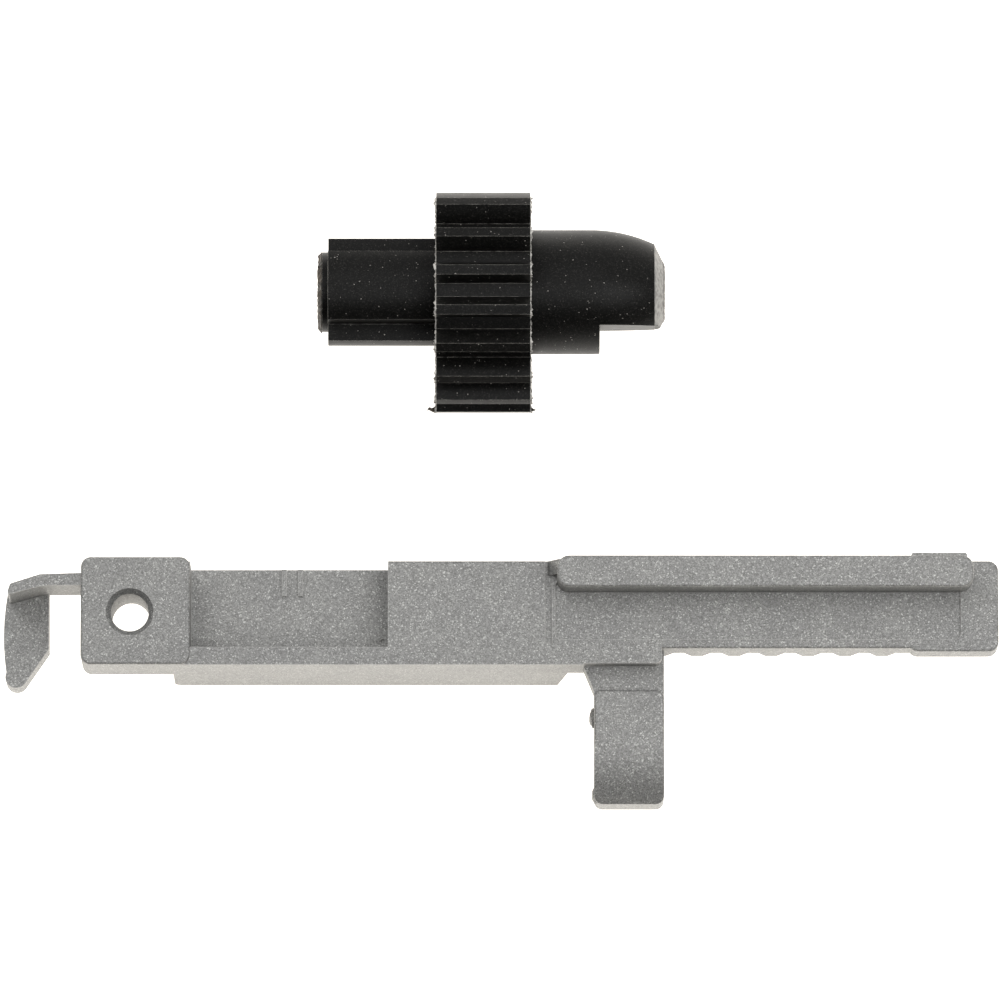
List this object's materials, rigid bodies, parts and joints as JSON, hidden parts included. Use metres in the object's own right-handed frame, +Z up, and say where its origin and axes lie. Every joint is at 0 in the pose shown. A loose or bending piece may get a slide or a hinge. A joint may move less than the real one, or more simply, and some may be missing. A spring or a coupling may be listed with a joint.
{
  "type": "rack and pinion",
  "caption": "Die-cast toothed rack with a hook, pin hole and foot, and a loose sector pinion with a half-moon tongue.",
  "frame": {"origin": "middle of the two pieces' footprint, on the surface they lie on", "axes": "+X along the rack from its hook to its toothed end, +Y from the rack towards the pinion, +Z up"},
  "size_m": [0.0894, 0.0558, 0.0199],
  "materials": {
    "cast_alloy": "grainy cast",
    "blackened_metal": "satin black"
  },
  "bodies": {
    "rack": {"rack": "cast_alloy"},
    "pinion": {"pinion": "blackened_metal"}
  },
  "joints": [
    {"name": "pinion_spin", "type": "hinge", "parent": "rack", "child": "pinion", "pos_m": [0, 0.01888, 0.009], "axis": [1, 0, 0], "range_deg": [-103.5, 10.5]}
  ]
}
